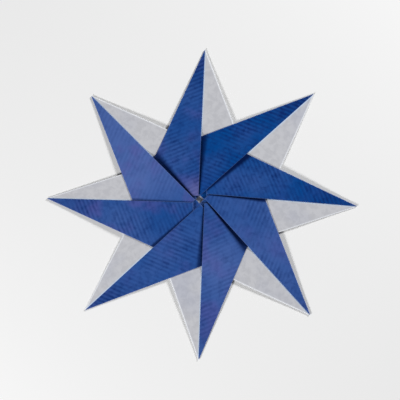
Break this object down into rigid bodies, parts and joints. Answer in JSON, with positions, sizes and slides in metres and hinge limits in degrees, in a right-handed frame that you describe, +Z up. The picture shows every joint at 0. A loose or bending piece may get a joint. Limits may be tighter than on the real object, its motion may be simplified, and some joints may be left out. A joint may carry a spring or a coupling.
{
  "type": "origami star",
  "caption": "Flat modular origami star of interlocked folded square sheets, blue and white pinwheel points round a small open centre.",
  "frame": {"origin": "under the middle of the star, on the surface that it lies on", "axes": "+Z up out of the front of the star, +Y towards the tip of sheet_1, +X towards the tip of sheet_3"},
  "size_m": [0.1522, 0.1524, 0.003],
  "materials": {
    "two_coloured_paper": "ribbed and mottled blue face, matt greyish white reverse"
  },
  "bodies": {
    "root": {"sheet_1": "two_coloured_paper", "sheet_2": "two_coloured_paper", "sheet_3": "two_coloured_paper", "sheet_4": "two_coloured_paper", "sheet_5": "two_coloured_paper", "sheet_6": "two_coloured_paper", "sheet_7": "two_coloured_paper", "sheet_8": "two_coloured_paper"}
  },
  "joints": []
}
